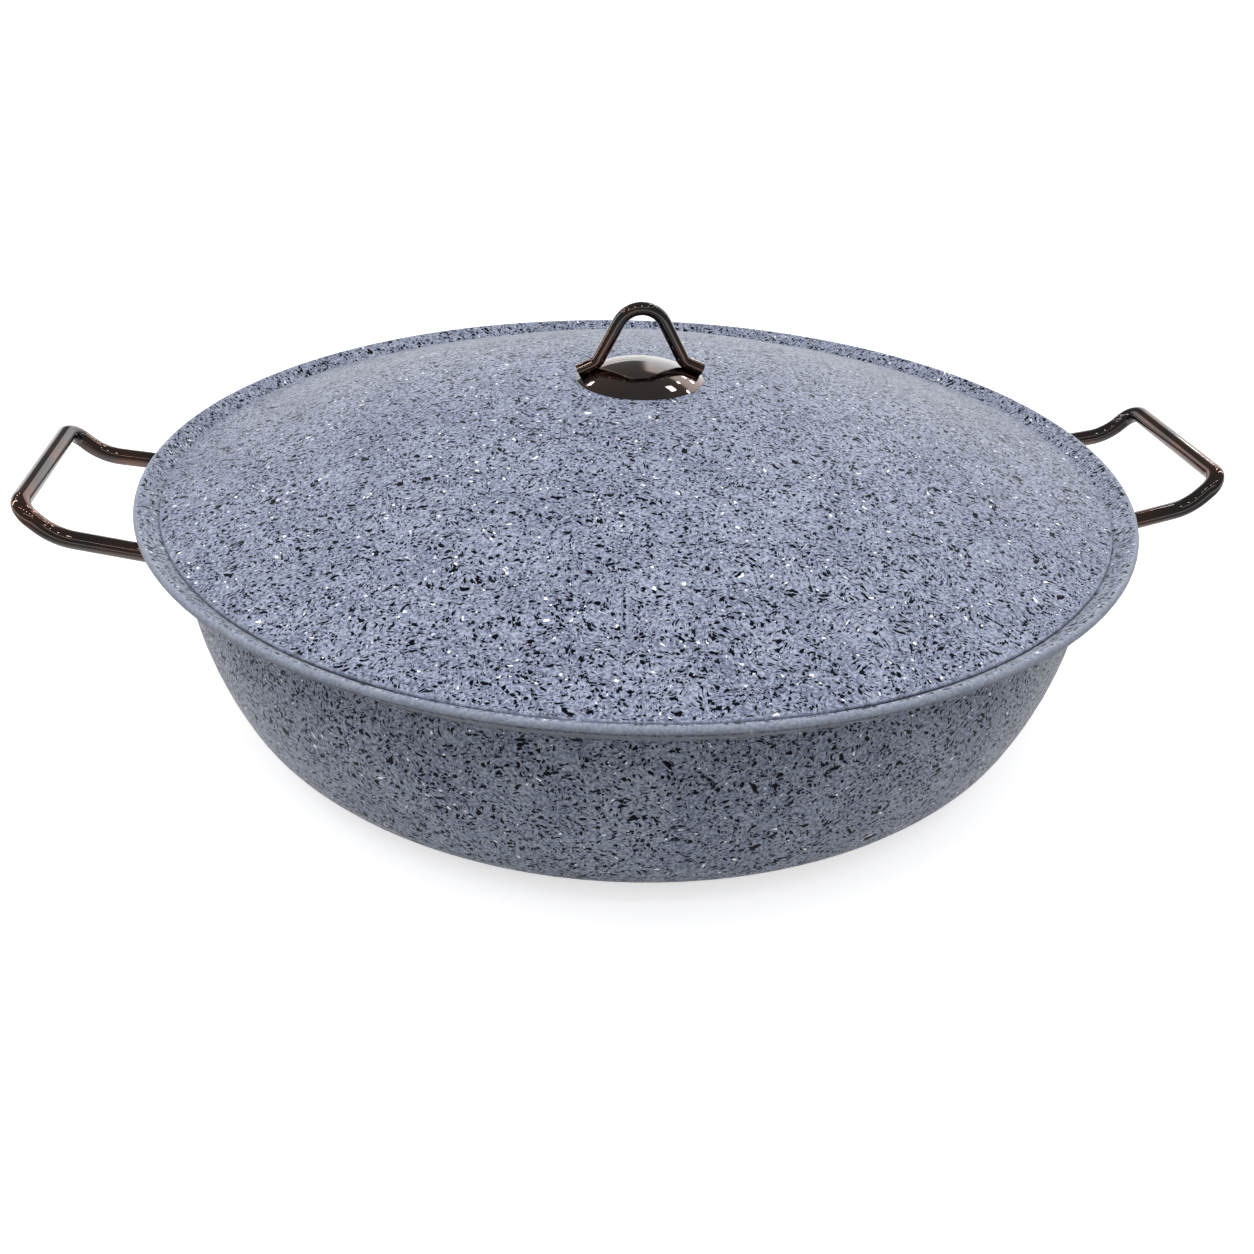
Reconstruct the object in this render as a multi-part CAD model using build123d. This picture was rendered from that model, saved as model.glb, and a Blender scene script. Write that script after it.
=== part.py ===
from build123d import *
from math import asin, cos, degrees, radians, sin, sqrt, tan
import os

# A wide two-handled pan with a lift-off domed lid, in millimetres.
# The origin is the centre of the base on the table, +Z is up and the two handles lie along X.

# Pan shell
rim_radius = 225.0
pan_height = 107.0
wall = 4.0
base_thickness = 6.0
flare_width = 17.0
flare_slope = 38.0
flare_fillet = 4.0
shoulder_fillet = 5.0
neck_depth = 22.0
wall_bow_radius = 158.0
heel_radius = 36.0
turning_ring_start = 36.0
turning_ring_pitch = 16.0
turning_ring_count = 7
turning_ring_width = 2.4
turning_ring_depth = 0.6

# Lid
lid_margin = 9.3
lid_wall = 3.0
lid_skirt_width = 64.0
lid_skirt_slope = 18.2
lid_seat_gap = 0.3
lid_edge_round = 0.9

# Handles
handle_rod_diameter = 8.0
handle_reach = 41.7
handle_grip_rise = 3.0
handle_grip_half_span = 44.5
handle_root_half_span = 49.5
handle_knee_reach = 28.7
handle_knee_depth = 10.5
handle_root_depth = 20.5
handle_corner_radius = 8.0
handle_knee_radius = 26.0

# Handle mounting plates and rivets
plate_thickness = 2.5
plate_height = 17.0
plate_overhang = 7.0
plate_top_depth = 18.5
plate_corner_radius = 5.0
rivet_diameter = 6.0
rivet_head_diameter = 12.0
rivet_head_height = 2.6
rivet_inner_head_height = 1.4
rivet_half_spacing = 24.0
rivet_clearance = 0.05
rivet_drill_reach = 20.0

# Knob
rosette_radius = 29.0
rosette_rise = 8.0
rosette_wall = 1.2
arch_rod_diameter = 6.0
arch_height = 35.0
arch_leg_slope = 62.3
arch_foot_length = 9.0
arch_foot_inset = 1.3
arch_foot_sink = 0.3
arch_crown_radius = 11.6
arch_ankle_radius = 6.0
boss_diameter = 16.0
screw_diameter = 5.0
screw_engagement = 5.0
screw_head_diameter = 10.0
screw_head_height = 3.2
screw_head_flat_diameter = 5.0
screw_head_swell_diameter = 8.8
screw_head_swell_height = 2.2
screw_tip_chamfer = 0.5
screw_recess_width = 1.2
screw_recess_length = 6.0
screw_recess_depth = 1.6
washer_diameter = 15.0
washer_thickness = 1.0
thread_clearance = 0.05
screw_hole_clearance = 0.4

# Derived places of the pan
wall_radius = rim_radius - flare_width
belly_height = pan_height - neck_depth
bow_centre_radius = wall_radius - wall_bow_radius
lip_radius = wall / 2
lip_centre_radius = rim_radius - lip_radius
lip_centre_height = pan_height - lip_radius
flare_sin = sin(radians(flare_slope))
flare_cos = cos(radians(flare_slope))
flare_tan = flare_sin / flare_cos

# Derived places of the lid
skirt_tan = tan(radians(lid_skirt_slope))
lid_radius = rim_radius - lid_margin
crown_tangent_radius = lid_radius - lid_skirt_width
crown_sphere_radius = crown_tangent_radius / sin(radians(lid_skirt_slope))
flare_top_radius = lip_centre_radius - lip_radius * flare_sin
flare_top_height = lip_centre_height + lip_radius * flare_cos
seat_height = flare_top_height - (flare_top_radius - lid_radius) * flare_tan
lid_edge_height = seat_height + lid_seat_gap / flare_cos
crown_tangent_height = lid_edge_height + lid_skirt_width * skirt_tan
crown_centre_height = crown_tangent_height - crown_sphere_radius * cos(radians(lid_skirt_slope))
crown_height = crown_centre_height + crown_sphere_radius

# Derived places of the knob
rosette_sphere_radius = (rosette_radius ** 2 + rosette_rise ** 2) / (2 * rosette_rise)
rosette_inner_radius = rosette_sphere_radius - rosette_wall
rosette_foot_radius = sqrt(rosette_inner_radius ** 2 - (rosette_sphere_radius - rosette_rise) ** 2)
rosette_base_height = crown_centre_height + sqrt(crown_sphere_radius ** 2 - rosette_foot_radius ** 2)
rosette_centre_height = rosette_base_height + rosette_rise - rosette_sphere_radius


def at(radius, height):
    """Gives the point of the half section at this radius and height."""
    return Vector(radius, 0, height)


def arc_point(centre_radius, centre_height, radius, angle):
    """Gives the point of a section arc at an angle in degrees, counted from the outward direction."""
    turn = radians(angle)
    return at(centre_radius + radius * cos(turn), centre_height + radius * sin(turn))


def spun(edges):
    """Turns a closed half section in the XZ plane into a solid about the Z axis."""
    return revolve(make_face(edges), Axis.Z)


def heel(shell_offset, floor_height):
    """Finds the heel arc between the floor and the bowed wall: its centre, its radius and its end angle."""
    radius = heel_radius - shell_offset
    bow = wall_bow_radius - shell_offset
    drop = belly_height - floor_height - radius
    centre_radius = bow_centre_radius + sqrt((bow - radius) ** 2 - drop ** 2)
    joint_angle = -degrees(asin(drop / (bow - radius)))
    return centre_radius, radius, joint_angle


def side_edges(shell_offset, floor_height, top_height):
    """Makes the heel arc, the bowed wall and the upright neck of one side of the shell."""
    centre_radius, radius, joint_angle = heel(shell_offset, floor_height)
    bow = wall_bow_radius - shell_offset
    heel_start = at(centre_radius, floor_height)
    heel_middle = arc_point(centre_radius, floor_height + radius, radius, (joint_angle - 90) / 2)
    heel_end = arc_point(centre_radius, floor_height + radius, radius, joint_angle)
    bow_middle = arc_point(bow_centre_radius, belly_height, bow, joint_angle / 2)
    bow_end = at(wall_radius - shell_offset, belly_height)
    return [
        ThreePointArc(heel_start, heel_middle, heel_end),
        ThreePointArc(heel_end, bow_middle, bow_end),
        Line(bow_end, at(wall_radius - shell_offset, top_height)),
    ]


def flare_line(offset_side):
    """Gives the flare's outer end and the height where its line meets the wall, above or below."""
    outer = at(
        lip_centre_radius - offset_side * lip_radius * flare_sin,
        lip_centre_height + offset_side * lip_radius * flare_cos,
    )
    inner_radius = wall_radius if offset_side < 0 else wall_radius - wall
    return outer, at(inner_radius, outer.Z - (outer.X - inner_radius) * flare_tan)


def pan_blank():
    """Makes the spun shell with its flat base, bowed wall and flared rim, before any hole is cut."""
    under_outer, under_root = flare_line(-1)
    upper_outer, upper_root = flare_line(1)
    outer = side_edges(0, 0, under_root.Z)
    inner = side_edges(wall, base_thickness, upper_root.Z)
    lip_middle = arc_point(lip_centre_radius, lip_centre_height, lip_radius, flare_slope)
    edges = [
        Line(at(0, 0), outer[0] @ 0),
        *outer,
        Line(under_root, under_outer),
        ThreePointArc(under_outer, lip_middle, upper_outer),
        Line(upper_outer, upper_root),
        *inner,
        Line(inner[0] @ 0, at(0, base_thickness)),
        Line(at(0, base_thickness), at(0, 0)),
    ]
    section = make_face(edges)
    root = section.vertices().sort_by_distance(under_root)[0]
    section = fillet(root, flare_fillet)
    shoulder = section.vertices().sort_by_distance(upper_root)[0]
    section = fillet(shoulder, shoulder_fillet)
    return revolve(section, Axis.Z)


def turning_rings():
    """Makes the shallow rings that the lathe leaves in the base, as cutters."""
    rings = []
    half = turning_ring_width / 2
    for index in range(turning_ring_count):
        radius = turning_ring_start + index * turning_ring_pitch
        start, end = at(radius - half, 0), at(radius + half, 0)
        groove = [ThreePointArc(start, at(radius, turning_ring_depth), end), Line(end, start)]
        rings.append(spun(groove))
    return rings


def handle_side(side):
    """Gives the frame whose X axis points out along one handle: 1 is the right side, -1 the left."""
    return Rot(0, 0, 0 if side > 0 else 180)


def plate_band():
    """Makes the closed ring from which the mounting plates are cut, lying on the outside of the wall."""
    bow = wall_bow_radius
    top = pan_height - plate_top_depth
    bottom = top - plate_height
    lies, faces = [], []
    for radius, points in ((bow, lies), (bow + plate_thickness, faces)):
        turn = degrees(asin((bottom - belly_height) / radius))
        for share in (1, 0.5, 0):
            points.append(arc_point(bow_centre_radius, belly_height, radius, turn * share))
        points.append(at(bow_centre_radius + radius, top))
    edges = [
        ThreePointArc(*lies[:3]),
        Line(lies[2], lies[3]),
        Line(lies[3], faces[3]),
        Line(faces[3], faces[2]),
        ThreePointArc(*faces[:3]),
        Line(faces[0], lies[0]),
    ]
    return spun(edges)


def plate_blank():
    """Cuts one mounting plate, with rounded corners, for the right-hand side."""
    width = 2 * (handle_root_half_span + plate_overhang)
    middle = pan_height - plate_top_depth - plate_height / 2
    outline = Plane.YZ * Pos(0, middle) * RectangleRounded(width, plate_height, plate_corner_radius)
    return plate_band() & extrude(outline, 2 * rim_radius)


def rivet_places():
    """Gives the frames of one handle's rivets: each X axis points straight out of the wall."""
    height = pan_height - plate_top_depth - plate_height / 2
    places = []
    for turn in (-1, 1):
        angle = turn * degrees(asin(rivet_half_spacing / wall_radius))
        places.append(Pos(0, 0, height) * Rot(0, 0, angle))
    return places


def along_x(radius, start, end):
    """Makes a cylinder about the X axis between two places on it."""
    return extrude(Plane.YZ.offset(start) * Circle(radius), end - start)


def rivet_seats():
    """Finds where the flat undersides of a rivet's two heads lie: on the plate and inside the wall."""
    low = plate_top_depth + (plate_height + rivet_head_diameter) / 2 - neck_depth
    bow = wall_bow_radius - wall
    inside = bow_centre_radius + sqrt(bow ** 2 - low ** 2)
    return wall_radius + plate_thickness, sqrt(inside ** 2 - (rivet_head_diameter / 2) ** 2)


def cap_middle(face, radius, rise):
    """Gives the point halfway up a spherical cap about the X axis that stands on a flat face."""
    sphere = (radius ** 2 + rise ** 2) / (2 * abs(rise))
    half_turn = asin(radius / sphere) / 2
    centre = face + rise - sphere * (1 if rise > 0 else -1)
    return centre + sphere * cos(half_turn) * (1 if rise > 0 else -1), sphere * sin(half_turn)


def rivet():
    """Turns one rivet about the X axis: a domed head outside, a shank and a low domed head inside."""
    head, shank = rivet_head_diameter / 2, rivet_diameter / 2
    outside, inside = rivet_seats()
    top, bottom = outside + rivet_head_height, inside - rivet_inner_head_height
    profile = [
        ThreePointArc((bottom, 0), cap_middle(inside, head, -rivet_inner_head_height), (inside, head)),
        Line((inside, head), (inside, shank)),
        Line((inside, shank), (outside, shank)),
        Line((outside, shank), (outside, head)),
        ThreePointArc((outside, head), cap_middle(outside, head, rivet_head_height), (top, 0)),
        Line((top, 0), (bottom, 0)),
    ]
    return revolve(make_face(profile), Axis.X)


def rivets(side):
    """Places one handle's rivets as a group of separate solids."""
    return handle_side(side) * Compound([place * rivet() for place in rivet_places()])


def rivet_holes():
    """Makes the drills for one handle's rivets."""
    radius = rivet_diameter / 2 + rivet_clearance
    drill = along_x(radius, wall_radius - rivet_drill_reach, wall_radius + rivet_drill_reach)
    return [place * drill for place in rivet_places()]


def handle_rod(side, band):
    """Bends one handle from a round rod: two splayed legs, knees, rounded corners and a straight grip."""
    grip_x = rim_radius + handle_reach
    grip_z = pan_height + handle_grip_rise
    knee_x = rim_radius + handle_knee_reach
    knee_z = pan_height - handle_knee_depth
    root_x = sqrt((wall_radius + plate_thickness) ** 2 - handle_root_half_span ** 2)
    root_z = pan_height - handle_root_depth
    splay = (handle_root_half_span - handle_grip_half_span) / (grip_x - root_x)
    knee_y = handle_grip_half_span + splay * (grip_x - knee_x)
    run = Vector(knee_x - root_x, handle_root_half_span - knee_y, knee_z - root_z).normalized()
    start = Vector(root_x, -handle_root_half_span, root_z) - run * handle_rod_diameter
    points = [
        start,
        Vector(knee_x, -knee_y, knee_z),
        Vector(grip_x, -handle_grip_half_span, grip_z),
        Vector(grip_x, handle_grip_half_span, grip_z),
        Vector(knee_x, knee_y, knee_z),
        Vector(start.X, -start.Y, start.Z),
    ]
    radii = [handle_knee_radius, handle_corner_radius, handle_corner_radius, handle_knee_radius]
    path = FilletPolyline(*points, radius=radii)
    section = Plane(path @ 0, z_dir=path % 0) * Circle(handle_rod_diameter / 2)
    rod = sweep(section, path)
    core = Pos(0, 0, pan_height / 2) * Cylinder(wall_radius + plate_thickness, 2 * pan_height)
    return handle_side(side) * (rod - core - band)


def lid_shell():
    """Makes the pressed lid: a spherical crown, a straight skirt and an edge bevelled to the flare."""
    slope = radians(lid_skirt_slope)
    inner_sphere = crown_sphere_radius - lid_wall
    tangent_outer = at(crown_tangent_radius, crown_tangent_height)
    tangent_inner = at(
        crown_tangent_radius - lid_wall * sin(slope), crown_tangent_height - lid_wall * cos(slope)
    )
    drop = lid_wall / cos(slope)
    bevel_run = drop / (flare_tan + skirt_tan)
    edge = at(lid_radius, lid_edge_height)
    toe = at(lid_radius - bevel_run, lid_edge_height - bevel_run * flare_tan)
    bore = (screw_diameter + screw_hole_clearance) / 2
    bore_top = at(bore, crown_centre_height + sqrt(crown_sphere_radius ** 2 - bore ** 2))
    bore_bottom = at(bore, crown_centre_height + sqrt(inner_sphere ** 2 - bore ** 2))
    crown_middle = arc_point(0, crown_centre_height, crown_sphere_radius, 90 - lid_skirt_slope / 2)
    under_middle = arc_point(0, crown_centre_height, inner_sphere, 90 - lid_skirt_slope / 2)
    edges = [
        ThreePointArc(bore_top, crown_middle, tangent_outer),
        Line(tangent_outer, edge),
        Line(edge, toe),
        Line(toe, tangent_inner),
        ThreePointArc(tangent_inner, under_middle, bore_bottom),
        Line(bore_bottom, bore_top),
    ]
    section = make_face(edges)
    rounded = [
        section.vertices().sort_by_distance(edge)[0],
        section.vertices().sort_by_distance(toe)[0],
    ]
    return revolve(fillet(rounded, lid_edge_round), Axis.Z)


def rosette_ball(radius):
    """Makes the whole ball that a rosette surface is part of."""
    return Pos(0, 0, rosette_centre_height) * Sphere(radius)


def knob_rosette():
    """Makes the thin domed rosette that covers the screw and carries the arch."""
    rim = Pos(0, 0, rosette_base_height) * Cylinder(
        2 * rosette_radius, 2 * rosette_rise, align=(Align.CENTER, Align.CENTER, Align.MIN)
    )
    return (rosette_ball(rosette_sphere_radius) - rosette_ball(rosette_inner_radius)) & rim


def arch_path():
    """Makes the bent line of the arch: feet that lie along the rosette, sloped legs and a round top."""
    rod = arch_rod_diameter / 2
    reach = rosette_radius - arch_foot_inset - arch_foot_length / 2
    lean = asin(reach / rosette_sphere_radius)
    seat = rosette_sphere_radius + rod - arch_foot_sink
    seat_x = seat * sin(lean)
    seat_z = rosette_centre_height + seat * cos(lean)
    toe_x = seat_x + arch_foot_length / 2 * cos(lean)
    toe_z = seat_z - arch_foot_length / 2 * sin(lean)
    leg = radians(arch_leg_slope)
    half_angle = radians(90 - arch_leg_slope)
    peak_z = rosette_base_height + arch_height - rod + arch_crown_radius * (1 / sin(half_angle) - 1)
    ankle_x = (peak_z - seat_z - seat_x * tan(lean)) / (tan(leg) - tan(lean))
    ankle_z = peak_z - ankle_x * tan(leg)
    points = [
        Vector(-toe_x, 0, toe_z),
        Vector(-ankle_x, 0, ankle_z),
        Vector(0, 0, peak_z),
        Vector(ankle_x, 0, ankle_z),
        Vector(toe_x, 0, toe_z),
    ]
    return FilletPolyline(*points, radius=[arch_ankle_radius, arch_crown_radius, arch_ankle_radius])


def knob_arch():
    """Bends the lifting arch from a round rod and copes its feet to the rosette."""
    path = arch_path()
    section = Plane(path @ 0, z_dir=path % 0) * Circle(arch_rod_diameter / 2)
    return sweep(section, path) - rosette_ball(rosette_sphere_radius)


def knob_boss():
    """Makes the threaded boss under the rosette, which stands on the lid."""
    top = rosette_centre_height + rosette_sphere_radius
    height = top - crown_height
    column = Pos(0, 0, crown_height) * Cylinder(
        boss_diameter / 2, height, align=(Align.CENTER, Align.CENTER, Align.MIN)
    )
    bore = Pos(0, 0, crown_height) * Cylinder(screw_diameter / 2 + thread_clearance, 2 * height)
    return (column & rosette_ball(rosette_inner_radius)) - bore


def washer_top():
    """Gives the height of the lid's underside where the washer touches it."""
    inner_sphere = crown_sphere_radius - lid_wall
    return crown_centre_height + sqrt(inner_sphere ** 2 - (washer_diameter / 2) ** 2)


def knob_washer():
    """Makes the flat washer under the lid."""
    top = washer_top()
    ring = Circle(washer_diameter / 2) - Circle((screw_diameter + screw_hole_clearance) / 2)
    return extrude(Plane.XY.offset(top - washer_thickness) * ring, washer_thickness)


def knob_screw():
    """Makes the pan-head screw that holds the knob from below, with a cross recess."""
    seat = washer_top() - washer_thickness
    head_top = seat - screw_head_height
    head_radius = screw_head_diameter / 2
    flat_radius = screw_head_flat_diameter / 2
    shank_radius = screw_diameter / 2
    tip_radius = shank_radius - screw_tip_chamfer
    tip = crown_height + screw_engagement
    swell = at(screw_head_swell_diameter / 2, seat - screw_head_swell_height)
    edges = [
        Line(at(0, head_top), at(flat_radius, head_top)),
        ThreePointArc(at(flat_radius, head_top), swell, at(head_radius, seat)),
        Line(at(head_radius, seat), at(shank_radius, seat)),
        Line(at(shank_radius, seat), at(shank_radius, tip - screw_tip_chamfer)),
        Line(at(shank_radius, tip - screw_tip_chamfer), at(tip_radius, tip)),
        Line(at(tip_radius, tip), at(0, tip)),
        Line(at(0, tip), at(0, head_top)),
    ]
    arm = Rectangle(screw_recess_length, screw_recess_width)
    recess = extrude(Plane.XY.offset(head_top) * (arm + Rot(0, 0, 90) * arm), screw_recess_depth)
    return spun(edges) - recess


def build():
    """Makes every piece, keyed by its name."""
    band = plate_band()
    plate = plate_blank()
    holes = rivet_holes()
    drilled = pan_blank()
    for cutter in turning_rings():
        drilled = drilled - cutter
    for side in (-1, 1):
        for hole in holes:
            drilled = drilled - handle_side(side) * hole
    plate_drilled = plate
    for hole in holes:
        plate_drilled = plate_drilled - hole
    pieces = {"pan_shell": drilled}
    for name, side in (("left", -1), ("right", 1)):
        pieces[name + "_handle_rod"] = handle_rod(side, band)
        pieces[name + "_handle_plate"] = handle_side(side) * plate_drilled
        pieces[name + "_handle_rivets"] = rivets(side)
    pieces["lid_shell"] = lid_shell()
    pieces["knob_rosette"] = knob_rosette()
    pieces["knob_arch"] = knob_arch()
    pieces["knob_boss"] = knob_boss()
    pieces["knob_washer"] = knob_washer()
    pieces["knob_screw"] = knob_screw()
    return pieces


os.makedirs("parts", exist_ok=True)
for node, piece in build().items():
    export_step(piece, f"parts/{node}.step")
    print(node, round(piece.volume))
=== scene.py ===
"""Looks of a wide two-handled frying pan with a lift-off domed lid, in metres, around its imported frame."""

import logging
import math
from dataclasses import dataclass, field
from enum import Enum
from typing import Any, Iterable, Sequence

import bpy
from mathutils import Matrix, Vector


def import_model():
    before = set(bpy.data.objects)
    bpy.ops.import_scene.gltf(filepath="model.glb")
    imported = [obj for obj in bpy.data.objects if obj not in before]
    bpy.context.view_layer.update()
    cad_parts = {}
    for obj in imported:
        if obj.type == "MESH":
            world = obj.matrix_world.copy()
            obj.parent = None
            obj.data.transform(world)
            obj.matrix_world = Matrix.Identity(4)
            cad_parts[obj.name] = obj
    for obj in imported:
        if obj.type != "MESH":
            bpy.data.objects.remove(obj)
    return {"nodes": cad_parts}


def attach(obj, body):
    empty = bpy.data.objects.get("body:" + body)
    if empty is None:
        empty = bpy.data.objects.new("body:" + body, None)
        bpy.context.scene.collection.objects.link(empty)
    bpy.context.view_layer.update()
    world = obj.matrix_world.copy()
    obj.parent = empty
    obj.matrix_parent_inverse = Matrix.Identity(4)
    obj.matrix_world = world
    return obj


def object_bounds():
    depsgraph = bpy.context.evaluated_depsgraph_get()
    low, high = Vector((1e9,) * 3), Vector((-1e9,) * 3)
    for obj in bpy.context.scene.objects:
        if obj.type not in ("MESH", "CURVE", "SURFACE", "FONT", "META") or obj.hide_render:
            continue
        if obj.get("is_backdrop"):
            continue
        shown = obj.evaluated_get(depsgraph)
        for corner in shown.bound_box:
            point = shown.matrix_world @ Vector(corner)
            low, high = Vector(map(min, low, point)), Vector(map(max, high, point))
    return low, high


LOG = logging.getLogger("pan")
MILLIMETRE = 0.001
PHOTO_PIXELS = 1254
SENSOR_WIDTH_MM = 36.0
WAVE_LENGTH = math.tau / 20  # a wave texture of scale one repeats after this many units

Colour = tuple[float, float, float, float]
Tree = bpy.types.NodeTree
Node = bpy.types.Node
Socket = bpy.types.NodeSocket


class Body(Enum):
    """The rigid bodies that a piece can ride on."""

    PAN = "pan"
    LID = "lid"


class Side(Enum):
    """The two handle sides, with the sign of their X direction."""

    LEFT = -1
    RIGHT = 1


def srgb(code: str) -> Colour:
    """Turns a colour as seen on screen into the linear values that shaders use.

    Args:
        code: Six hex digits, with or without a leading hash.

    Returns:
        Linear red, green and blue with an alpha of one.
    """
    digits = code.lstrip("#")
    channels = [int(digits[i:i + 2], 16) / 255 for i in (0, 2, 4)]
    linear = [c / 12.92 if c <= 0.04045 else ((c + 0.055) / 1.055) ** 2.4 for c in channels]
    return (linear[0], linear[1], linear[2], 1.0)


def add_node(tree: Tree, kind: str, inputs: dict[Any, Any] | None = None, **settings: Any) -> Node:
    """Adds one node with its settings, its input values and its incoming links.

    Args:
        tree: The node tree that gets the node.
        kind: The node's type name without the ShaderNode part.
        inputs: Input name or index to a value, or to the socket that feeds it.
        **settings: Attributes of the node itself.

    Returns:
        The new node.
    """
    node = tree.nodes.new("ShaderNode" + kind)
    for key, value in settings.items():
        setattr(node, key, value)
    for key, value in (inputs or {}).items():
        if isinstance(value, bpy.types.NodeSocket):
            tree.links.new(value, node.inputs[key])
        else:
            node.inputs[key].default_value = value
    return node


def maths(tree: Tree, operation: str, *values: Any, clamp: bool = False) -> Socket:
    """Adds a maths node and gives its result.

    Args:
        tree: The node tree that gets the node.
        operation: The maths operation's name.
        *values: Numbers or sockets, in the operation's order.
        clamp: Whether the result stays between nought and one.

    Returns:
        The result socket.
    """
    return add_node(tree, "Math", dict(enumerate(values)), operation=operation, use_clamp=clamp).outputs[0]


def ramp(
    tree: Tree, value: Socket, low: float, high: float, start: float = 0.0, end: float = 1.0
) -> Socket:
    """Maps a value smoothly from one range to another.

    Args:
        tree: The node tree that gets the node.
        value: The value to map.
        low: Where the change starts.
        high: Where the change ends.
        start: The result below low.
        end: The result above high.

    Returns:
        The mapped value's socket.
    """
    inputs = {"Value": value, "From Min": low, "From Max": high, "To Min": start, "To Max": end}
    return add_node(tree, "MapRange", inputs, interpolation_type="SMOOTHSTEP").outputs["Result"]


def mix_colour(tree: Tree, factor: Any, first: Any, second: Any) -> Socket:
    """Mixes two colours.

    Args:
        tree: The node tree that gets the node.
        factor: Share of the second colour.
        first: The first colour or its socket.
        second: The second colour or its socket.

    Returns:
        The mixed colour's socket.
    """
    inputs = {0: factor, 6: first, 7: second}
    return add_node(tree, "Mix", inputs, data_type="RGBA").outputs[2]


def mix_number(tree: Tree, factor: Any, first: Any, second: Any) -> Socket:
    """Mixes two numbers, by the same rule as mix_colour.

    Args:
        tree: The node tree that gets the node.
        factor: Share of the second number.
        first: The first number or its socket.
        second: The second number or its socket.

    Returns:
        The mixed number's socket.
    """
    return add_node(tree, "Mix", {0: factor, 2: first, 3: second}, data_type="FLOAT").outputs[0]


def millimetres(tree: Tree) -> Socket:
    """Gives the place on the object in millimetres, which every pattern here is measured in."""
    place = add_node(tree, "TexCoord").outputs["Object"]
    return add_node(tree, "VectorMath", {0: place, "Scale": 1 / MILLIMETRE}, operation="SCALE").outputs[0]


def axis_of(tree: Tree, vector: Socket, axis: int) -> Socket:
    """Takes one number out of a vector.

    Args:
        tree: The node tree that gets the node.
        vector: The vector's socket.
        axis: Nought, one or two for X, Y or Z.

    Returns:
        The number's socket.
    """
    return add_node(tree, "SeparateXYZ", {0: vector}).outputs[axis]


def noise(tree: Tree, place: Socket, grain: float, detail: float, **inputs: Any) -> Node:
    """Adds a noise texture.

    Args:
        tree: The node tree that gets the node.
        place: The place in millimetres.
        grain: The noise's size in millimetres.
        detail: How many finer noises it adds.
        **inputs: Other inputs of the texture.

    Returns:
        The texture, whose first output is its value.
    """
    return add_node(tree, "TexNoise", {"Vector": place, "Scale": 1 / grain, "Detail": detail, **inputs})


def bumped(tree: Tree, height: Socket, reach: float) -> Socket:
    """Turns a height into a bumped normal.

    Args:
        tree: The node tree that gets the node.
        height: The height, from nought to one.
        reach: What a height of one is in millimetres.

    Returns:
        The normal's socket.
    """
    inputs = {"Height": height, "Distance": reach * MILLIMETRE, "Strength": 1.0}
    return add_node(tree, "Bump", inputs).outputs[0]


def cleared(owner: bpy.types.Material | bpy.types.World) -> Tree:
    """Empties the node tree of a material or a world.

    Args:
        owner: The material or the world.

    Returns:
        Its empty node tree.
    """
    owner.use_nodes = True
    owner.node_tree.nodes.clear()
    return owner.node_tree


def fresh_material(name: str) -> tuple[bpy.types.Material, Tree, Node]:
    """Makes an empty material with a surface shader joined to its output.

    Args:
        name: The material's name.

    Returns:
        The material, its node tree and its surface shader.
    """
    material = bpy.data.materials.new(name)
    tree = cleared(material)
    shader = add_node(tree, "BsdfPrincipled")
    add_node(tree, "OutputMaterial", {"Surface": shader.outputs[0]})
    return material, tree, shader


def feed(tree: Tree, shader: Node, name: str, value: Any) -> None:
    """Sets one input of a shader to a value or to a socket's link.

    Args:
        tree: The shader's node tree.
        shader: The shader node.
        name: The input's name.
        value: A number, a colour or a socket.
    """
    if isinstance(value, bpy.types.NodeSocket):
        tree.links.new(value, shader.inputs[name])
    else:
        shader.inputs[name].default_value = value


@dataclass(frozen=True)
class ChipLayer:
    """One sprayed layer of chips: how far apart they lie, how long they are, and how many stay."""

    spacing: float
    size: float
    share: float
    turn: tuple[float, float, float]
    stretch: float = 1.0
    gather: float = 0.0
    smallest: float = 0.25
    outline: tuple[float, float] = (1.06, 0.92)

    def mask(self, tree: Tree, place: Socket, patch: Socket) -> Socket:
        """Makes the layer's cover, one on a chip and nought beside it.

        Args:
            tree: The material's node tree.
            place: The place in millimetres, already bent so that chips have ragged outlines.
            patch: A wide noise that gathers the chips in groups.

        Returns:
            The cover's socket.
        """
        turned = add_node(
            tree, "VectorRotate", {"Vector": place, "Rotation": self.turn}, rotation_type="EULER_XYZ"
        ).outputs[0]
        narrow = (1.0, self.stretch, self.stretch)
        drawn = add_node(tree, "VectorMath", {0: turned, 1: narrow}, operation="MULTIPLY").outputs[0]
        cells = add_node(tree, "TexVoronoi", {"Vector": drawn, "Scale": 1 / self.spacing})
        parts = add_node(tree, "SeparateColor", {0: cells.outputs["Color"]})
        half = self.size / self.spacing
        spread = half * (1 - self.smallest)
        reach = maths(tree, "MULTIPLY_ADD", parts.outputs[0], spread, half * self.smallest)
        edge = maths(tree, "DIVIDE", cells.outputs["Distance"], reach)
        cover = ramp(tree, edge, *self.outline)
        limit = maths(tree, "MULTIPLY_ADD", patch, self.gather, self.share - self.gather / 2)
        kept = maths(tree, "LESS_THAN", parts.outputs[1], limit)
        return maths(tree, "MULTIPLY", cover, kept)


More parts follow.
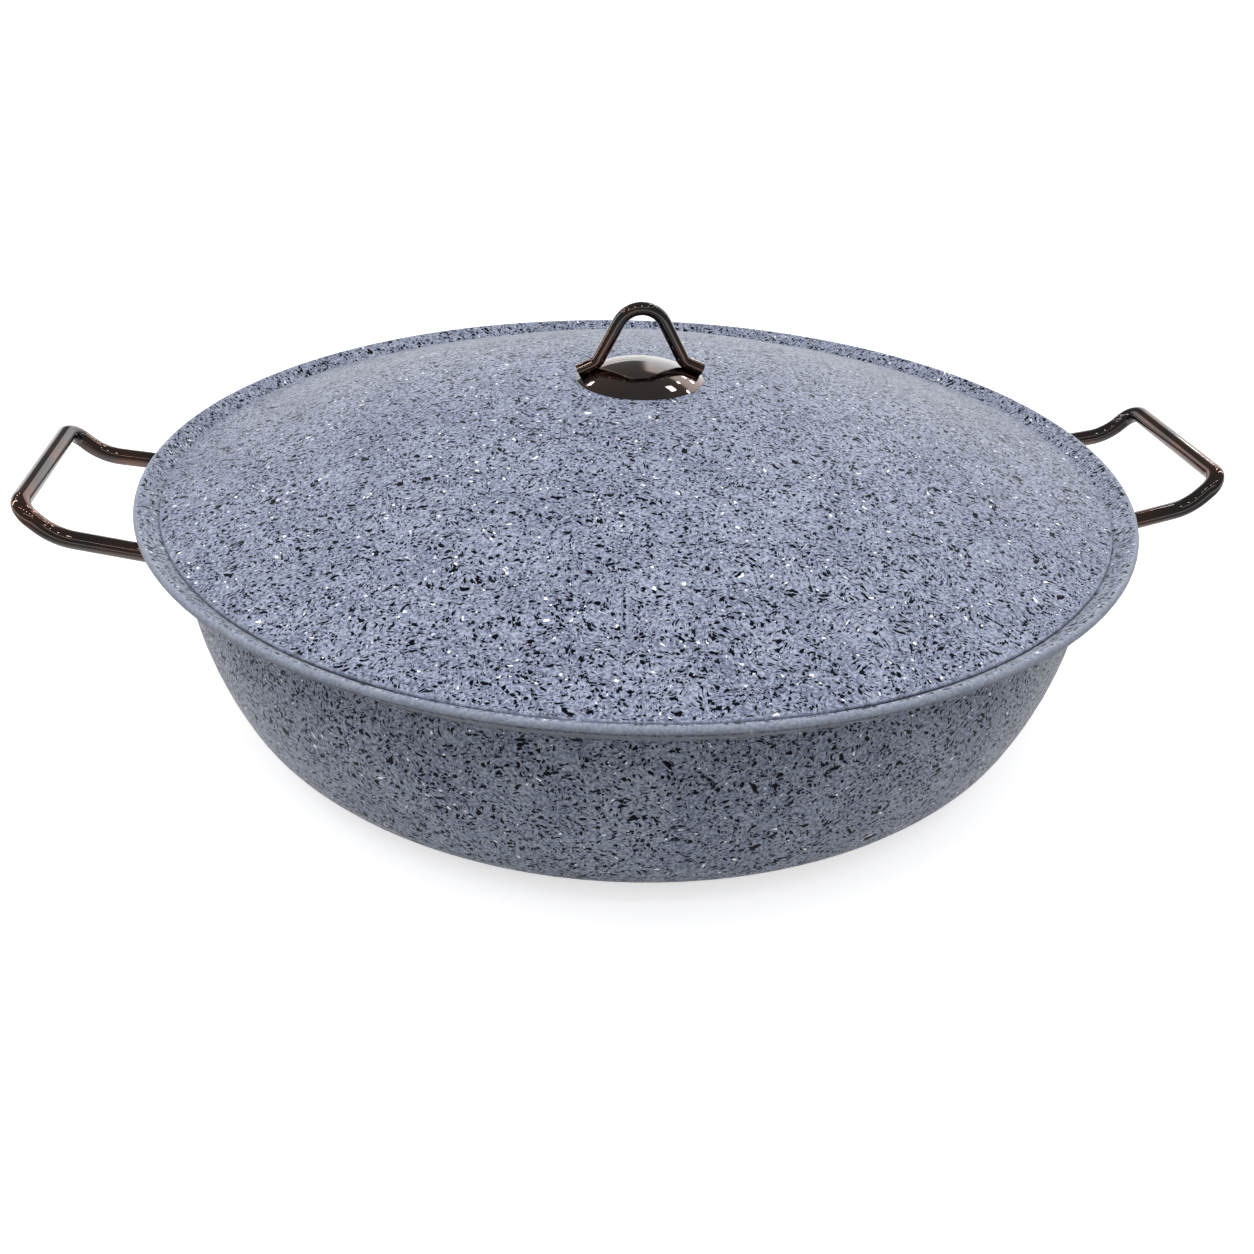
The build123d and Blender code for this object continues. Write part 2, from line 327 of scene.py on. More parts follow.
@dataclass(frozen=True)
class SpeckledCoating:
    """Sprayed stone-look non-stick coating: a satin ground with ragged dark chips and white flecks.

    The eye sees a blue-grey ground with a fine tangle of darker threads, hard-edged near-black chips
    one to three millimetres long that lie every way and gather in groups, and few bright flecks.
    """

    name: str
    edge_radius: float
    edge_width: float = 2.4
    edge_colour: str = "#8d93a5"
    edge_plain: float = 0.8
    edge_softness: float = 0.5
    # painted shadow: a dark line on the edge's side, where the shadow of the gap between lid and rim falls
    shadow_line_width: float = 0.0
    shadow_line_softness: float = 0.15
    shadow_line_colour: str = "#14161c"
    ground_light: str = "#a3aabe"
    ground_dark: str = "#666d83"
    thread_colour: str = "#3f4457"
    dark_chip: str = "#080a14"
    white_fleck: str = "#f4f6fa"
    roughness: float = 0.42
    chip_roughness: float = 0.36
    refraction: float = 1.22
    ground_gloss: float = 0.5
    chip_gloss: float = 0.12
    haze: float = 0.3
    haze_roughness: float = 0.35
    mottle_grain: float = 1.2
    mottle_levels: tuple[float, float] = (0.36, 0.64)
    mottle_patch: float = 24.0
    patch_levels: tuple[float, float] = (0.3, 0.7)
    patch_shift: float = 0.12
    thread_grain: float = 1.7
    thread_curl: float = 1.2
    thread_levels: tuple[float, float] = (0.045, 0.02)
    thread_share: float = 0.5
    gather_grain: float = 9.0
    bend_grain: float = 14.0
    bend_reach: float = 6.0
    ragged_grain: float = 1.2
    ragged_reach: float = 0.9
    peel_grain: float = 2.2
    chip_height: float = 0.35
    relief: float = 0.04
    dark_layers: tuple[ChipLayer, ...] = (
        ChipLayer(3.9, 1.78, 0.6, (0.3, 0.2, 0.4), 1.9, 0.4),
        ChipLayer(3.2, 1.38, 0.6, (1.1, 0.5, 2.0), 1.9, 0.4),
        ChipLayer(2.5, 1.0, 0.62, (0.7, 1.9, 1.2), 1.6, 0.3),
        ChipLayer(1.8, 0.66, 0.5, (2.3, 0.9, 0.1), 1.4, 0.2),
    )
    white_layers: tuple[ChipLayer, ...] = (
        ChipLayer(6.5, 1.1, 0.55, (0.9, 2.6, 0.6), 1.4),
        ChipLayer(4.0, 0.6, 0.6, (1.7, 0.4, 2.9), 1.0),
    )

    def bent(self, tree: Tree, place: Socket, grain: float, reach: float) -> Socket:
        """Moves the place about with noise.

        Args:
            tree: The material's node tree.
            place: The place in millimetres.
            grain: The noise's size in millimetres.
            reach: How far it moves the place.

        Returns:
            The bent place's socket.
        """
        sway = {0: noise(tree, place, grain, 1.0).outputs["Color"], 1: (0.5,) * 3}
        centred = add_node(tree, "VectorMath", sway, operation="SUBTRACT").outputs[0]
        inputs = {0: centred, 1: (reach * 2,) * 3, 2: place}
        return add_node(tree, "VectorMath", inputs, operation="MULTIPLY_ADD").outputs[0]

    def cover(self, tree: Tree, place: Socket, patch: Socket, layers: Sequence[ChipLayer]) -> Socket:
        """Adds up several layers of chips.

        Args:
            tree: The material's node tree.
            place: The bent place in millimetres.
            patch: A wide noise that gathers the chips in groups.
            layers: The layers to add.

        Returns:
            Their joint cover.
        """
        total: Any = 0.0
        for layer in layers:
            total = maths(tree, "MAXIMUM", total, layer.mask(tree, place, patch))
        return total

    def ground(self, tree: Tree, place: Socket) -> Socket:
        """Makes the ground colour: soft mottling with a tangle of thin darker threads.

        Args:
            tree: The material's node tree.
            place: The place in millimetres.

        Returns:
            The colour's socket.
        """
        fine = noise(tree, place, self.mottle_grain, 3.0).outputs[0]
        wide = noise(tree, place, self.mottle_patch, 2.0).outputs[0]
        share = ramp(tree, fine, *self.mottle_levels)
        patch = ramp(tree, wide, *self.patch_levels, -self.patch_shift, self.patch_shift)
        factor = maths(tree, "ADD", share, patch, clamp=True)
        colour = mix_colour(tree, factor, srgb(self.ground_dark), srgb(self.ground_light))
        tangle = noise(tree, place, self.thread_grain, 1.5, Distortion=self.thread_curl).outputs[0]
        level = maths(tree, "ABSOLUTE", maths(tree, "SUBTRACT", tangle, 0.5))
        thread = ramp(tree, level, *self.thread_levels, 0.0, self.thread_share)
        return mix_colour(tree, thread, colour, srgb(self.thread_colour))

    @staticmethod
    def radius(tree: Tree) -> Socket:
        """Measures how far a place lies from the upright axis, in millimetres.

        Args:
            tree: The material's node tree.

        Returns:
            The radius's socket.
        """
        place = millimetres(tree)
        across, along = axis_of(tree, place, 0), axis_of(tree, place, 1)
        square = maths(tree, "MULTIPLY_ADD", across, across, maths(tree, "MULTIPLY", along, along))
        return maths(tree, "SQRT", square)

    def edge(self, tree: Tree) -> Socket:
        """Finds the round edge, where the sprayed chips run out.

        Args:
            tree: The material's node tree.

        Returns:
            The edge's cover.
        """
        start, soft = self.edge_radius - self.edge_width, self.edge_softness
        return ramp(tree, self.radius(tree), start - soft, start + soft, 0.0, self.edge_plain)

    def speckled(self, tree: Tree) -> tuple[Socket, Socket, Socket]:
        """Lays chips and flecks over the ground, with a plainer band round the edge and, if it has
        a width, a dark line on the edge's side that stands for the gap's shadow.

        Args:
            tree: The material's node tree.

        Returns:
            The colour, the cover of chips and the fine height.
        """
        place = millimetres(tree)
        edge = self.edge(tree)
        speckle = maths(tree, "SUBTRACT", 1.0, edge)
        patch = noise(tree, place, self.gather_grain, 1.0).outputs[0]
        ragged = self.bent(tree, place, self.bend_grain, self.bend_reach)
        ragged = self.bent(tree, ragged, self.ragged_grain, self.ragged_reach)
        dark = maths(tree, "MULTIPLY", self.cover(tree, ragged, patch, self.dark_layers), speckle)
        white = maths(tree, "MULTIPLY", self.cover(tree, ragged, patch, self.white_layers), speckle)
        colour = mix_colour(tree, dark, self.ground(tree, place), srgb(self.dark_chip))
        colour = mix_colour(tree, white, colour, srgb(self.white_fleck))
        colour = mix_colour(tree, edge, colour, srgb(self.edge_colour))
        # painted shadow: the dark line on the edge's side stands for the gap's shadow
        if self.shadow_line_width:
            start, soft = self.edge_radius - self.shadow_line_width, self.shadow_line_softness
            line = ramp(tree, self.radius(tree), start - soft, start + soft)
            colour = mix_colour(tree, line, colour, srgb(self.shadow_line_colour))
        orange_peel = noise(tree, place, self.peel_grain, 2.0).outputs[0]
        height = maths(tree, "ADD", maths(tree, "MULTIPLY", dark, self.chip_height), orange_peel)
        return colour, dark, height

    def surface(self, tree: Tree, shader: Node, dark: Socket) -> Socket:
        """Sets the satin's reflection: a soft haze at low angles, which the matt chips show less.

        Args:
            tree: The material's node tree.
            shader: The surface shader.
            dark: The cover of chips.

        Returns:
            The roughness, which the caller joins to the shader.
        """
        feed(tree, shader, "IOR", self.refraction)
        feed(tree, shader, "Specular IOR Level", mix_number(tree, dark, self.ground_gloss, self.chip_gloss))
        feed(tree, shader, "Sheen Weight", mix_number(tree, dark, self.haze, self.haze / 2))
        feed(tree, shader, "Sheen Roughness", self.haze_roughness)
        return mix_number(tree, dark, self.roughness, self.chip_roughness)

    def material(self) -> bpy.types.Material:
        """Makes the coating's material."""
        material, tree, shader = fresh_material(self.name)
        colour, dark, height = self.speckled(tree)
        feed(tree, shader, "Base Color", colour)
        feed(tree, shader, "Roughness", self.surface(tree, shader, dark))
        feed(tree, shader, "Normal", bumped(tree, height, self.relief))
        return material


@dataclass(frozen=True)
class PanCoating(SpeckledCoating):
    """The same coating on the pan, painted darker under the lip and machined away on the base.

    The eye sees a plainer band round the lip, chips on the rest of the flare and on the wall, and
    bright turned aluminium underneath. The darker tone under the lip stands for its shadow.
    """

    base_radius: float = 156.0
    base_softness: float = 0.4
    base_depth: float = 1.0
    base_depth_softness: float = 0.2
    metal_colour: str = "#c9cbcd"
    metal_roughness: float = 0.32
    groove_pitch: float = 1.6
    lip_centre: float = 223.0
    lip_height: float = 105.0
    flare_slope: float = 38.0
    neck_radii: tuple[float, float] = (208.0, 208.1)
    middle_softness: tuple[float, float] = (0.5, -0.5)
    plain_from: tuple[float, float] = (104.0, 104.6)
    shade_top: tuple[float, float] = (105.0, 104.6)
    shade_reach: tuple[float, float] = (82.0, 98.0)
    shade_share: float = 0.5
    shade_colour: str = "#2b2f3a"

    def base(self, tree: Tree) -> Socket:
        """Finds the bare base.

        Args:
            tree: The material's node tree.

        Returns:
            The base's cover.
        """
        edge, soft = self.base_radius, self.base_softness
        inside = ramp(tree, self.radius(tree), edge + soft, edge - soft)
        top, soft = self.base_depth, self.base_depth_softness
        low = ramp(tree, axis_of(tree, millimetres(tree), 2), top + soft, top - soft)
        return maths(tree, "MULTIPLY", inside, low)

    def edge(self, tree: Tree) -> Socket:
        """Finds the lip's top and side, where the sprayed chips run out, but not its underside.

        Args:
            tree: The material's node tree.

        Returns:
            The edge's cover.
        """
        height = axis_of(tree, millimetres(tree), 2)
        return maths(tree, "MULTIPLY", super().edge(tree), ramp(tree, height, *self.plain_from))

    def under_lip(self, tree: Tree) -> Socket:
        """Finds the outside just under the lip, which is painted darker to carry the photo's shadow there.

        The underside of the flare lies below the line through its middle, and outside the neck.

        Args:
            tree: The material's node tree.

        Returns:
            How dark the paint is there.
        """
        height, radius = axis_of(tree, millimetres(tree), 2), self.radius(tree)
        slope = math.tan(math.radians(self.flare_slope))
        middle = maths(tree, "MULTIPLY_ADD", radius, slope, self.lip_height - self.lip_centre * slope)
        under = ramp(tree, maths(tree, "SUBTRACT", height, middle), *self.middle_softness)
        shade: Socket = maths(tree, "MULTIPLY", under, ramp(tree, height, *self.shade_top))
        outside, high = ramp(tree, radius, *self.neck_radii), ramp(tree, height, *self.shade_reach)
        for share in (outside, high, self.shade_share):
            shade = maths(tree, "MULTIPLY", shade, share)
        return shade

    def material(self) -> bpy.types.Material:
        """Makes the pan's material."""
        material, tree, shader = fresh_material(self.name)
        bare = self.base(tree)
        colour, dark, height = self.speckled(tree)
        colour = mix_colour(tree, self.under_lip(tree), colour, srgb(self.shade_colour))
        colour = mix_colour(tree, bare, colour, srgb(self.metal_colour))
        rough = self.surface(tree, shader, dark)
        feed(tree, shader, "Base Color", colour)
        feed(tree, shader, "Roughness", mix_number(tree, bare, rough, self.metal_roughness))
        feed(tree, shader, "Metallic", bare)
        grooves = {"Vector": millimetres(tree), "Scale": WAVE_LENGTH / self.groove_pitch, "Distortion": 0.0}
        turned = add_node(tree, "TexWave", grooves, wave_type="RINGS", rings_direction="Z").outputs[1]
        feed(tree, shader, "Normal", bumped(tree, mix_number(tree, bare, height, turned), self.relief))
        return material


@dataclass(frozen=True)
class PlatedBronze:
    """Steel rod, mirror-polished and vacuum-plated dark bronze.

    The eye sees a near-black brown mirror with sharp highlights, a copper tint in patches and a
    slight waviness in the reflections, where the buffing wheel went.
    """

    name: str
    colour: str = "#4b4543"
    warm: str = "#6e4f42"
    tint_patch: float = 26.0
    tint_levels: tuple[float, float] = (0.42, 0.66)
    roughness: float = 0.035
    worn_roughness: float = 0.09
    wear_grain: float = 3.0
    wear_levels: tuple[float, float] = (0.4, 0.75)
    buff_wave: float = 5.0
    buff_height: float = 0.05
    bend_wave: float = 1.6
    bend_height: float = 0.008
    clear: float = 1.0

    def material(self) -> bpy.types.Material:
        """Makes the plated metal's material."""
        material, tree, shader = fresh_material(self.name)
        place = millimetres(tree)
        tint = ramp(tree, noise(tree, place, self.tint_patch, 1.0).outputs[0], *self.tint_levels)
        colour = mix_colour(tree, tint, srgb(self.colour), srgb(self.warm))
        wear = noise(tree, place, self.wear_grain, 5.0).outputs[0]
        rough = ramp(tree, wear, *self.wear_levels, self.roughness, self.worn_roughness)
        wide = noise(tree, place, self.buff_wave, 1.0).outputs[0]
        fine = noise(tree, place, self.bend_wave, 2.0).outputs[0]
        height = maths(tree, "MULTIPLY_ADD", fine, self.bend_height / self.buff_height, wide)
        feed(tree, shader, "Base Color", colour)
        feed(tree, shader, "Metallic", 1.0)
        feed(tree, shader, "Roughness", rough)
        feed(tree, shader, "Normal", bumped(tree, height, self.buff_height))
        feed(tree, shader, "Coat Weight", self.clear)
        feed(tree, shader, "Coat Roughness", self.roughness)
        return material


@dataclass(frozen=True)
class PlainMetal:
    """Bare metal of the fasteners, as the press leaves it: dull, finely scratched and stained in patches."""

    name: str
    colour: str
    stain: str
    roughness: float
    stain_patch: float = 4.0
    stain_levels: tuple[float, float] = (0.45, 0.75)
    scratch_grain: float = 0.4
    scratch_levels: tuple[float, float] = (0.3, 0.7)
    scratch_depth: float = 0.02
    polish: float = 0.06
    wear: float = 0.08

    def material(self) -> bpy.types.Material:
        """Makes the bare metal's material."""
        material, tree, shader = fresh_material(self.name)
        place = millimetres(tree)
        patch = ramp(tree, noise(tree, place, self.stain_patch, 4.0).outputs[0], *self.stain_levels)
        colour = mix_colour(tree, patch, srgb(self.colour), srgb(self.stain))
        scratch = noise(tree, place, self.scratch_grain, 3.0).outputs[0]
        finest, dullest = self.roughness - self.polish, self.roughness + self.wear
        feed(tree, shader, "Base Color", colour)
        feed(tree, shader, "Metallic", 1.0)
        feed(tree, shader, "Roughness", ramp(tree, scratch, *self.scratch_levels, finest, dullest))
        feed(tree, shader, "Normal", bumped(tree, scratch, self.scratch_depth))
        return material


def paint(node: bpy.types.Object, material: bpy.types.Material) -> None:
    """Puts one material on a whole object.

    Args:
        node: The object.
        material: Its new material.
    """
    if not node.material_slots:
        node.data.materials.append(material)
    for slot in node.material_slots:
        slot.material = material


@dataclass
class Frame:
    """The loaded construction: its nodes and its box."""

    nodes: dict[str, bpy.types.Object]
    bounds: tuple[Vector, Vector]

    def dress(self, names: Iterable[str], material: bpy.types.Material) -> None:
        """Gives several nodes one material and reports them.

        Args:
            names: The nodes' names.
            material: Their material.
        """
        for name in names:
            paint(self.nodes[name], material)
            LOG.info("%s finished as %s", name, material.name)


@dataclass
class PanBody:
    """The pan's shell."""

    frame: Frame
    coating: PanCoating = field(
        default_factory=lambda: PanCoating(
            "stone_coating_pan",
            225.0,
            edge_width=1.9,
            edge_colour="#8a919f",
            edge_plain=0.65,
            ground_light="#a3aaba",
        )
    )

    def dress(self) -> None:
        """Finishes the shell."""
        self.frame.dress(["pan_shell"], self.coating.material())


@dataclass
class WeldBead:
    """A run of weld round a rod's end, drawn with the ripples that the torch leaves."""

    name: str
    centre: Vector
    direction: Vector
    rod_radius: float
    bead_radius: float = 1.1 * MILLIMETRE
    bite: float = 0.35
    steps: int = 64
    sides: int = 12
    ripple: float = 0.16
    ripple_step: int = 4
    ripple_reach: float = 1.6
    smooth_angle: float = 60.0

    def build(self, material: bpy.types.Material, body: Body) -> bpy.types.Object:
        """Makes the bead, ripples it and lets it ride.

        Args:
            material: The bead's material.
            body: The body it rides on.

        Returns:
            The finished bead.
        """
        bpy.ops.object.select_all(action="DESELECT")
        turn = self.direction.to_track_quat("Z", "Y").to_euler()
        bpy.ops.mesh.primitive_torus_add(
            major_radius=self.rod_radius + self.bead_radius * self.bite,
            minor_radius=self.bead_radius,
            major_segments=self.steps,
            minor_segments=self.sides,
            location=self.centre,
            rotation=turn,
        )
        bead = bpy.context.object
        bead.name = self.name
        bpy.ops.object.transform_apply(location=True, rotation=True, scale=True)
        self.ripple_rings(bead)
        bpy.ops.object.shade_smooth_by_angle(angle=math.radians(self.smooth_angle))
        paint(bead, material)
        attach(bead, body.value)
        LOG.info("%s made", self.name)
        return bead

    def ripple_rings(self, bead: bpy.types.Object) -> None:
        """Swells the bead a little at even steps round the rod.

        Args:
            bead: The bead's object.
        """
        side = self.direction.orthogonal().normalized()
        across = self.direction.cross(side).normalized()
        for index in range(0, self.steps, self.ripple_step):
            angle = math.tau * index / self.steps
            spot = self.centre + (side * math.cos(angle) + across * math.sin(angle)) * self.rod_radius
            self.select_near(bead, spot, self.bead_radius * self.ripple_reach)
            bpy.ops.object.mode_set(mode="EDIT")
            bpy.ops.transform.resize(value=(1 + self.ripple,) * 3, center_override=tuple(spot))
            bpy.ops.object.mode_set(mode="OBJECT")

    @staticmethod
    def select_near(bead: bpy.types.Object, spot: Vector, reach: float) -> None:
        """Selects the bead's points near a spot.

        Args:
            bead: The bead's object.
            spot: The spot.
            reach: How far from it a point may be.
        """
        for vertex in bead.data.vertices:
            vertex.select = (vertex.co - spot).length < reach
        for edge in bead.data.edges:
            edge.select = False
        for face in bead.data.polygons:
            face.select = False


@dataclass
class SideHandle:
    """One side handle: its bent rod, its mounting plate, its rivets and its two welds."""

    frame: Frame
    side: Side
    metal: PlatedBronze = field(default_factory=lambda: PlatedBronze("plated_bronze_handle"))
    rivet_metal: PlainMetal = field(
        default_factory=lambda: PlainMetal("aluminium_rivet", "#c6c8ca", "#a4a6a8", 0.34)
    )
    rod_radius: float = 4.0 * MILLIMETRE
    root: tuple[float, float, float] = (0.2046, 0.0495, 0.0865)
    knee: tuple[float, float, float] = (0.2537, 0.0455, 0.0965)

    def dress(self) -> None:
        """Finishes the rod, the plate and the rivets, and adds the welds."""
        name = self.side.name.lower()
        plated = self.metal.material()
        self.frame.dress([f"{name}_handle_rod", f"{name}_handle_plate"], plated)
        self.frame.dress([f"{name}_handle_rivets"], self.rivet_metal.material())
        for end, sign in (("front", -1), ("rear", 1)):
            turn = Vector((self.side.value, sign, 1))
            root = Vector(self.root) * turn
            knee = Vector(self.knee) * turn
            WeldBead(f"{name}_{end}_weld", root, (knee - root).normalized(), self.rod_radius).build(
                plated, Body.PAN
            )


@dataclass
class Lid:
    """The lid's shell."""

    frame: Frame
    coating: SpeckledCoating = field(
        default_factory=lambda: SpeckledCoating(
            # the line width sets the painted shadow of the gap round the lid's edge
            "stone_coating_lid", 215.7, edge_width=1.8, edge_plain=0.35, shadow_line_width=0.35
        )
    )

    def dress(self) -> None:
        """Finishes the shell."""
        self.frame.dress(["lid_shell"], self.coating.material())


@dataclass
class Knob:
    """The lid's rosette and lifting arch, with the fasteners that hold them."""

    frame: Frame
    arch_metal: PlatedBronze = field(
        default_factory=lambda: PlatedBronze("plated_bronze_arch", roughness=0.025, worn_roughness=0.06)
    )
    rosette_metal: PlatedBronze = field(
        default_factory=lambda: PlatedBronze(
            "plated_bronze_rosette", colour="#605a59", warm="#735d55", roughness=0.025, worn_roughness=0.06
        )
    )
    steel: PlainMetal = field(default_factory=lambda: PlainMetal("zinc_steel", "#b4b5b6", "#8d8e8c", 0.3))

    def dress(self) -> None:
        """Finishes the rosette, the arch and the fasteners."""
        self.frame.dress(["knob_rosette"], self.rosette_metal.material())
        self.frame.dress(["knob_arch"], self.arch_metal.material())
        self.frame.dress(["knob_boss", "knob_washer", "knob_screw"], self.steel.material())


@dataclass(frozen=True)
class PhotoCamera:
    """The camera of the photograph, worked out from the rim, the lid's edge and the handles."""

    position: tuple[float, float, float] = (-0.0765, -0.5697, 0.3445)
    heading: float = 7.39
    tilt: float = 29.74
    roll: float = 1.66
    focal_pixels: float = 1311.5
    sight: float = 50.0

    def build(self) -> bpy.types.Object:
        """Makes the camera and sets it as the scene's."""
        heading, tilt, roll = (math.radians(v) for v in (self.heading, self.tilt, self.roll))
        flat = Vector((math.sin(heading), math.cos(heading), 0))
        right = Vector((math.cos(heading), -math.sin(heading), 0))
        forward = flat * math.cos(tilt) - Vector((0, 0, math.sin(tilt)))
        upward = flat * math.sin(tilt) + Vector((0, 0, math.cos(tilt)))
        across = right * math.cos(roll) + upward * math.sin(roll)
        upright = upward * math.cos(roll) - right * math.sin(roll)
        axes = Matrix((across, upright, -forward)).transposed()
        lens = bpy.data.cameras.new("photo_camera")
        lens.sensor_width = SENSOR_WIDTH_MM
        lens.lens = self.focal_pixels / PHOTO_PIXELS * SENSOR_WIDTH_MM
        lens.clip_end = self.sight
        camera = bpy.data.objects.new("photo_camera", lens)
        camera.matrix_world = Matrix.Translation(self.position) @ axes.to_4x4()
        bpy.context.scene.collection.objects.link(camera)
        bpy.context.scene.camera = camera
        return camera


@dataclass(frozen=True)
class SoftBox:
    """A rectangular studio lamp aimed at the pan."""

    name: str
    position: tuple[float, float, float]
    width: float
    depth: float
    power: float
    mirrored: bool = True
    target: tuple[float, float, float] = (0.0, 0.0, 0.08)

    def build(self) -> None:
        """Hangs the lamp."""
        lamp = bpy.data.lights.new(self.name, "AREA")
        lamp.shape = "RECTANGLE"
        lamp.size = self.width
        lamp.size_y = self.depth
        lamp.energy = self.power
        holder = bpy.data.objects.new(self.name, lamp)
        holder.location = self.position
        aim = Vector(self.target) - Vector(self.position)
        holder.rotation_euler = aim.to_track_quat("-Z", "Y").to_euler()
        holder.visible_glossy = self.mirrored
        bpy.context.scene.collection.objects.link(holder)


@dataclass(frozen=True)
class CeilingSpots:
    """Rows of small ceiling lamps, far too weak to light the pan but seen as sparks in polished metal."""

    start: tuple[float, float, float]
    step: tuple[float, float, float]
    count: int
    size: float = 0.07
    power: float = 0.35

    def lamps(self, name: str) -> list[SoftBox]:
        """Gives the lamps of the row.

        Args:
            name: What the row is called.

        Returns:
            One small lamp for each place.
        """
        start, step = Vector(self.start), Vector(self.step)
        places = [start + step * index for index in range(self.count)]
        return [
            SoftBox(f"{name}_{index}", tuple(place), self.size, self.size, self.power)
            for index, place in enumerate(places)
        ]


@dataclass(frozen=True)
class Studio:
    """White surroundings, a pale floor and soft lamps."""

    floor_size: float = 12.0
    floor_gap: float = 0.2 * MILLIMETRE
    floor_colour: str = "#dcdcdc"
    # painted light: for rays other than the camera's, the floor's colour is lighter near the pan and darker
    # farther off, to shape the light it bounces onto the pan
    near_bounce: str = "#f0f0f0"
    far_bounce: str = "#747474"
    bounce_reach: tuple[float, float] = (0.24, 0.42)
    floor_lift: float = 0.62
    shadow_reach: tuple[float, float] = (0.4, 1.0)
    bright_side: tuple[float, float, float] = (0.0, 0.5, 0.866)
    dim_strength: float = 0.36
    bright_strength: float = 0.95
    mirror_dark: float = 0.17
    mirror_bright: float = 1.2
    slat_count: float = 9.0
    slat_levels: tuple[float, float] = (-0.9, -0.4)
    slat_dark: float = 0.35
    low_wall_top: tuple[float, float] = (0.34, 0.28)
    right_wall_side: tuple[float, float] = (0.1, 0.2)
    right_wall_top: tuple[float, float] = (0.7, 0.6)
    walls_behind: tuple[float, float] = (0.45, 0.6)
    light_spread: tuple[float, float] = (-0.6, 0.75)
    lamps: tuple[SoftBox, ...] = (
        SoftBox("overhead_softbox", (0.0, -0.15, 1.9), 1.1, 1.1, 14.0, False),
        SoftBox("left_strip", (-1.5, 0.3, 1.0), 0.08, 1.6, 4.5),
        SoftBox("right_strip", (1.5, 0.5, 1.2), 0.08, 1.6, 3.0),
        SoftBox("front_strip", (0.0, -1.7, 1.5), 1.8, 0.06, 1.5),
    )
    spots: tuple[CeilingSpots, ...] = (
        CeilingSpots((0.88, 0.97, 1.9), (0.0, 0.0, 0.0), 1, 0.2, 1.5),
        CeilingSpots((0.98, 1.34, 1.58), (0.0, 0.35, -0.42), 2),
        CeilingSpots((1.21, 1.11, 1.6), (-0.1, 0.5, -0.48), 2),
        CeilingSpots((-0.77, 1.6, 1.44), (-0.3, -0.5, 0.0), 3, 0.12, 0.6),
        CeilingSpots((-1.2, -0.7, 1.5), (0.45, -0.05, 0.05), 6, 0.08, 0.4),
    )

    def seen_rays(self, tree: Tree) -> Socket:
        """Gives one for rays that show the surroundings: straight from the camera or through glass."""
        path = add_node(tree, "LightPath").outputs
        return maths(tree, "ADD", path["Is Camera Ray"], path["Is Transmission Ray"], clamp=True)

    def mirrored_room(self, tree: Tree, way: Socket) -> Socket:
        """Makes what polished metal mirrors: a dim room, a bright wall low behind it and one on its right.

        Args:
            tree: The world's node tree.
            way: The direction of the ray.

        Returns:
            The brightness in that direction.
        """
        aside, ahead, up = (axis_of(tree, way, axis) for axis in range(3))
        slats = maths(tree, "SINE", maths(tree, "MULTIPLY", up, self.slat_count * math.tau))
        slats = ramp(tree, slats, *self.slat_levels, self.slat_dark, 1.0)
        low = maths(tree, "MULTIPLY", ramp(tree, up, *self.low_wall_top), slats)
        side, top = ramp(tree, aside, *self.right_wall_side), ramp(tree, up, *self.right_wall_top)
        right = maths(tree, "MULTIPLY", side, top)
        behind = ramp(tree, ahead, *self.walls_behind)
        wall = maths(tree, "MULTIPLY", maths(tree, "MAXIMUM", low, right), behind)
        return ramp(tree, wall, 0.0, 1.0, self.mirror_dark, self.mirror_bright)

    def surround(self) -> None:
        """Makes the world: plain white where it is seen, and brightest above and behind for the object."""
        world = bpy.data.worlds.new("white_surroundings")
        bpy.context.scene.world = world
        tree = cleared(world)
        way = add_node(tree, "TexCoord").outputs["Generated"]
        sides = {0: way, 1: self.bright_side}
        lean = add_node(tree, "VectorMath", sides, operation="DOT_PRODUCT").outputs["Value"]
        light = ramp(tree, lean, *self.light_spread, self.dim_strength, self.bright_strength)
        mirrored = self.mirrored_room(tree, way)
        glossy = add_node(tree, "LightPath").outputs["Is Glossy Ray"]
        strength = mix_number(tree, glossy, light, mirrored)
        strength = mix_number(tree, self.seen_rays(tree), strength, 1.0)
        back = add_node(tree, "Background", {"Color": (1, 1, 1, 1), "Strength": strength})
        add_node(tree, "OutputWorld", {"Surface": back.outputs[0]})

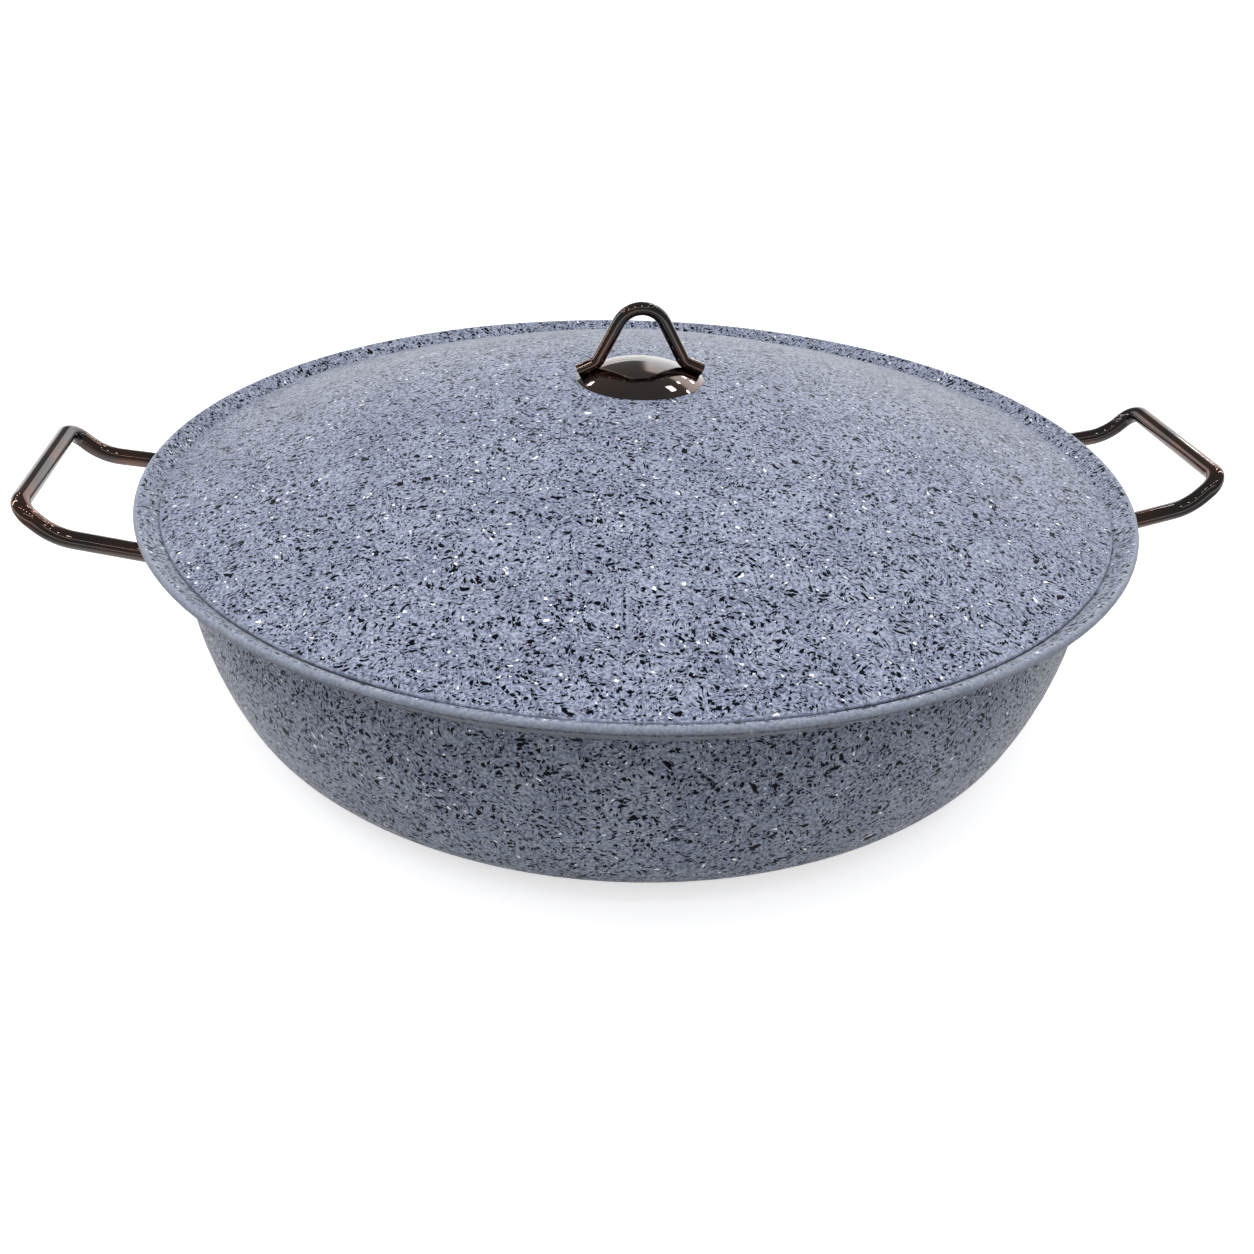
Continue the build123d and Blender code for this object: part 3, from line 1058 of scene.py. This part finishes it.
    def lay_floor(self) -> None:
        """Lays the floor: it shows the object's soft shadow near by and turns plain white farther off."""
        bpy.ops.object.select_all(action="DESELECT")
        bpy.ops.mesh.primitive_plane_add(size=self.floor_size, location=(0, 0, -self.floor_gap))
        floor = bpy.context.object
        floor.name = "studio_floor"
        material = bpy.data.materials.new("studio_floor")
        tree = cleared(material)
        seen = self.seen_rays(tree)
        place = add_node(tree, "TexCoord").outputs["Object"]
        radius = add_node(tree, "VectorMath", {0: place}, operation="LENGTH").outputs["Value"]
        shown = maths(tree, "ADD", seen, add_node(tree, "LightPath").outputs["Is Glossy Ray"], clamp=True)
        far = maths(tree, "MULTIPLY", ramp(tree, radius, *self.shadow_reach), shown)
        # painted light: the bounced colour is lighter near the pan and darker farther off
        spread = ramp(tree, radius, *self.bounce_reach)
        bounce = mix_colour(tree, spread, srgb(self.near_bounce), srgb(self.far_bounce))
        shade = mix_colour(tree, seen, bounce, srgb(self.floor_colour))
        matt = add_node(tree, "BsdfDiffuse", {"Color": shade})
        lift = add_node(tree, "Emission", {"Strength": maths(tree, "MULTIPLY", seen, self.floor_lift)})
        near = add_node(tree, "AddShader", {0: matt.outputs[0], 1: lift.outputs[0]})
        plain = add_node(tree, "Emission", {"Strength": 1.0})
        both = add_node(tree, "MixShader", {0: far, 1: near.outputs[0], 2: plain.outputs[0]})
        add_node(tree, "OutputMaterial", {"Surface": both.outputs[0]})
        floor.data.materials.append(material)
        floor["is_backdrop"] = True

    def build(self) -> None:
        """Makes the surroundings, the floor and the lamps."""
        self.surround()
        self.lay_floor()
        lamps = list(self.lamps)
        for number, row in enumerate(self.spots):
            lamps += row.lamps(f"ceiling_row_{number}")
        for lamp in lamps:
            lamp.build()


def main() -> None:
    """Builds the looks round the frame and sets up the studio."""
    logging.basicConfig(level=logging.INFO, format="%(name)s: %(message)s")
    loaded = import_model()
    frame = Frame(loaded["nodes"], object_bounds())
    PanBody(frame).dress()
    for side in Side:
        SideHandle(frame, side).dress()
    Lid(frame).dress()
    Knob(frame).dress()
    scene = bpy.context.scene
    scene.view_settings.view_transform = "Standard"
    PhotoCamera().build()
    Studio().build()


if __name__ == "__main__":
    main()
